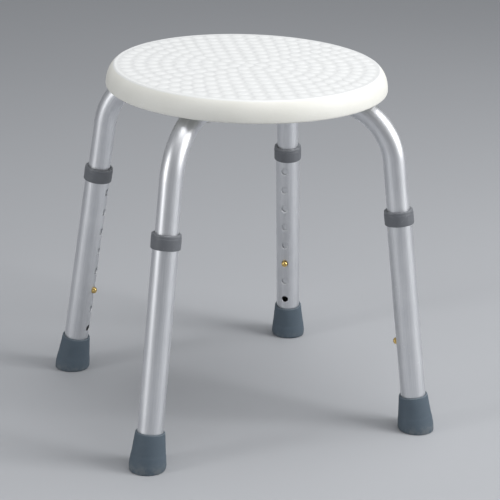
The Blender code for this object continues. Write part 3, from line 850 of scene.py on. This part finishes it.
def screw_head_mesh():
    """A pan head, seen from below, with a cross recess, and its shank."""
    rings, around = 26, 64
    points, rows = [], []
    for ring in range(rings + 1):
        share = ring / rings
        radius = SCREW_HEAD_RADIUS * share
        count = 1 if ring == 0 else around
        rows.append(list(range(len(points), len(points) + count)))
        pan = 0.25 * share**2 + 0.75 * max(0.0, (share - 0.62) / 0.38) ** 2.4
        for k in range(count):
            turn = 2 * pi * k / around
            x, y = radius * cos(turn), radius * sin(turn)
            long, short = max(abs(x), abs(y)), min(abs(x), abs(y))
            arm = np.clip((CROSS_HALF_WIDTH - short) / (0.16 * MM), 0, 1)
            arm *= np.clip((CROSS_REACH - long) / (0.3 * MM), 0, 1)
            sink = arm * (CROSS_DEPTH - 0.28 * long)
            points.append((x, y, SCREW_HEAD_TOP + SCREW_HEAD_CROWN * pan + sink))
    seat = SCREW_HEAD_SEAT
    stem = [(SCREW_HEAD_RADIUS, seat - 0.15 * MM), (SCREW_HEAD_RADIUS - 0.2 * MM, seat)]
    stem += [(SCREW_SHANK, seat), (SCREW_SHANK, SCREW_TOP - 0.6 * MM)]
    stem.append((SCREW_SHANK - 0.6 * MM, SCREW_TOP))
    for radius, height in stem:
        rows.append(list(range(len(points), len(points) + around)))
        for k in range(around):
            turn = 2 * pi * k / around
            points.append((radius * cos(turn), radius * sin(turn), height))
    rows.append([len(points)])
    points.append((0.0, 0.0, SCREW_TOP))
    return skin("seat_screw", points, strip(rows), 42)


def tube_plug_mesh():
    """The push-in cap on the arm's inner end, with a shallow round recess in its face."""
    cap = ARM_INNER_END - FIT
    front = cap - PLUG_CAP
    stub = UPPER_BORE - FIT
    corners = [(0, front + 0.5 * MM, 0), (5.0 * MM, front + 0.5 * MM, 0.3 * MM), (5.6 * MM, front, 0.3 * MM),
               (UPPER_RADIUS, front, 1.1 * MM), (UPPER_RADIUS, cap, 0.2 * MM), (stub, cap, 0),
               (stub, cap + PLUG_STUB, 0.8 * MM), (stub / 2, cap + PLUG_STUB, 0.3 * MM), (stub / 2, cap, 0),
               (0, cap, 0)]
    mesh = turned("tube_plug", eased(corners, 4), 48)
    mesh.transform(Matrix.Translation((0, 0, ARM_HEIGHT)) @ Matrix.Rotation(pi / 2, 4, "Y"))
    return mesh


# Putting together


def put(name, mesh, look, body, stands_for, matrix=None):
    """A finished piece in its place: it wears a finish, rides on a body and stands for CAD nodes."""
    mesh = mesh.copy()
    mesh.name = name
    if "lie" not in mesh.attributes:
        note_values(mesh, "lie", [point.co for point in mesh.vertices], "FLOAT_VECTOR")
    if matrix:
        mesh.transform(matrix)
    mesh.materials.append(look)
    piece = bpy.data.objects.new(name, mesh)
    bpy.context.scene.collection.objects.link(piece)
    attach(piece, body)
    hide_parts(*stands_for)


def dress(node, look):
    """Gives a carried-over CAD node a finish."""
    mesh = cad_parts[node].data
    mesh.materials.clear()
    mesh.materials.append(look)


def build_seat(looks):
    """The seat, which every leg is screwed to."""
    put("seat_moulding", seat_mesh(), looks["ivory"], "seat_frame", ["seat"])


def build_leg(name, bearing, shapes, looks):
    """One leg with all its pieces, turned to its own side of the stool."""
    station = Matrix.Rotation(radians(bearing), 4, "Z")
    lean = station @ Matrix.Translation((FOOT_CIRCLE, 0, 0)) @ Matrix.Rotation(-SPLAY, 4, "Y")
    button = lean @ Matrix.Translation((0, 0, BUTTON_HEIGHT))
    lower = f"{name}_lower_leg"

    def piece(part, shape, look, body, slot, matrix):
        title = f"{name}_{part}"
        put(f"{title}_piece", shapes[shape], looks[look], body, [title], matrix)

    piece("upper_tube", "upper_tube", "upper", "seat_frame", "aluminium_tube", station)
    piece("tube_plug", "tube_plug", "plug", "seat_frame", "grey_plastic", station)
    for end, reach in SCREW_STATIONS.items():
        piece(f"{end}_screw", "screw", "zinc", "seat_frame", "zinc_steel",
              station @ Matrix.Translation((reach, 0, 0)))
        dress(f"{name}_{end}_insert", looks["insert"])
    piece("lower_tube", "lower_tube", "lower", lower, "aluminium_tube", lean)
    piece("collar", "collar", "collar", lower, "grey_plastic", lean)
    piece("rubber_tip", "rubber_tip", "rubber", lower, "tip_rubber", lean)
    dress(f"{name}_tip_washer", looks["washer"])
    piece("snap_button", "button", "brass", f"{name}_button", "brass_part", button)
    dress(f"{name}_button_spring", looks["spring"])


def build_stool():
    """Every finish and shape once, then the seat and the four legs."""
    looks = {
        "ivory": ivory_plastic(), "upper": drawn_aluminium("upper_aluminium", 1.0),
        "lower": drawn_aluminium("lower_aluminium", 0.98), "collar": grey_nylon(),
        "plug": grey_nylon("plug_nylon"), "rubber": slate_rubber(),
        "brass": turned_brass("button_brass"), "insert": turned_brass("insert_brass", carried=True),
        "zinc": zinc_plate("screw_zinc"), "washer": zinc_plate("washer_zinc", carried=True),
        "spring": spring_steel(),
    }
    shapes = {
        "upper_tube": upper_tube_mesh(), "tube_plug": tube_plug_mesh(), "screw": screw_head_mesh(),
        "lower_tube": lower_tube_mesh(), "collar": collar_mesh(), "rubber_tip": rubber_tip_mesh(),
        "button": snap_button_mesh(),
    }
    build_seat(looks)
    for name, bearing in LEG_BEARINGS.items():
        build_leg(name, bearing, shapes, looks)


# The studio


def in_view(x, y, z):
    """A place given from where the camera looks: x to its right, y away from it, z up."""
    return Matrix.Rotation(VIEW_TURN, 3, "Z") @ Vector((x, y, z))


def soft_box(name, place, target, width, height, power):
    """A rectangular lamp that looks at its target; both are given as the camera sees them."""
    light = bpy.data.lights.new(name, "AREA")
    light.shape = "RECTANGLE"
    light.size = width
    light.size_y = height
    light.energy = power
    lamp = bpy.data.objects.new(name, light)
    bpy.context.scene.collection.objects.link(lamp)
    lamp.location = in_view(*place)
    aim = in_view(*target) - lamp.location
    lamp.rotation_mode = "QUATERNION"
    lamp.rotation_quaternion = aim.to_track_quat("-Z", "Y")


def build_studio():
    """The floor, a dim pale surround and three soft lamps."""
    floor = bpy.data.meshes.new("floor")
    reach = 20.0
    floor.from_pydata([(-reach, -reach, 0), (reach, -reach, 0), (reach, reach, 0), (-reach, reach, 0)],
                      [], [(0, 1, 2, 3)])
    floor.materials.append(studio_floor())
    ground = bpy.data.objects.new("floor", floor)
    bpy.context.scene.collection.objects.link(ground)
    ground.location.z = -0.0002
    world = bpy.data.worlds.new("studio")
    bpy.context.scene.world = world
    world.use_nodes = True
    sky = world.node_tree.nodes["Background"]
    sky.inputs["Color"].default_value = (0.86, 0.89, 0.93, 1.0)
    sky.inputs["Strength"].default_value = 0.30
    aim = (0.0, 0.0, 0.25)
    soft_box("key_box", (2.1, -0.55, 1.35), aim, 1.0, 1.5, 40.0)
    soft_box("left_box", (-2.2, -1.3, 0.9), aim, 0.5, 1.6, 18.0)
    soft_box("top_box", (0.5, -0.1, 2.6), aim, 1.8, 1.8, 35.0)
    bpy.context.scene.view_settings.view_transform = "Standard"
    bpy.context.scene.view_settings.look = "None"


def build_camera():
    """A long lens from above the front, turned and slightly tipped to one side."""
    place = Vector((0.7561, -1.9863, 0.9466))
    heading, dip, roll = radians(110.585), radians(19.682), radians(1.816)
    ahead = Vector((cos(heading) * cos(dip), sin(heading) * cos(dip), -sin(dip)))
    side = Vector((sin(heading), -cos(heading), 0))
    above = side.cross(ahead)
    right = side * cos(roll) + above * sin(roll)
    up = above * cos(roll) - side * sin(roll)
    camera = bpy.data.objects.new("camera", bpy.data.cameras.new("camera"))
    bpy.context.scene.collection.objects.link(camera)
    camera.matrix_world = Matrix((
        (right.x, up.x, -ahead.x, place.x), (right.y, up.y, -ahead.y, place.y),
        (right.z, up.z, -ahead.z, place.z), (0, 0, 0, 1)))
    camera.data.sensor_width = 36.0
    camera.data.lens = 140.54
    camera.data.clip_start = 0.05
    camera.data.clip_end = 100.0
    bpy.context.scene.camera = camera


build_stool()
build_studio()
build_camera()
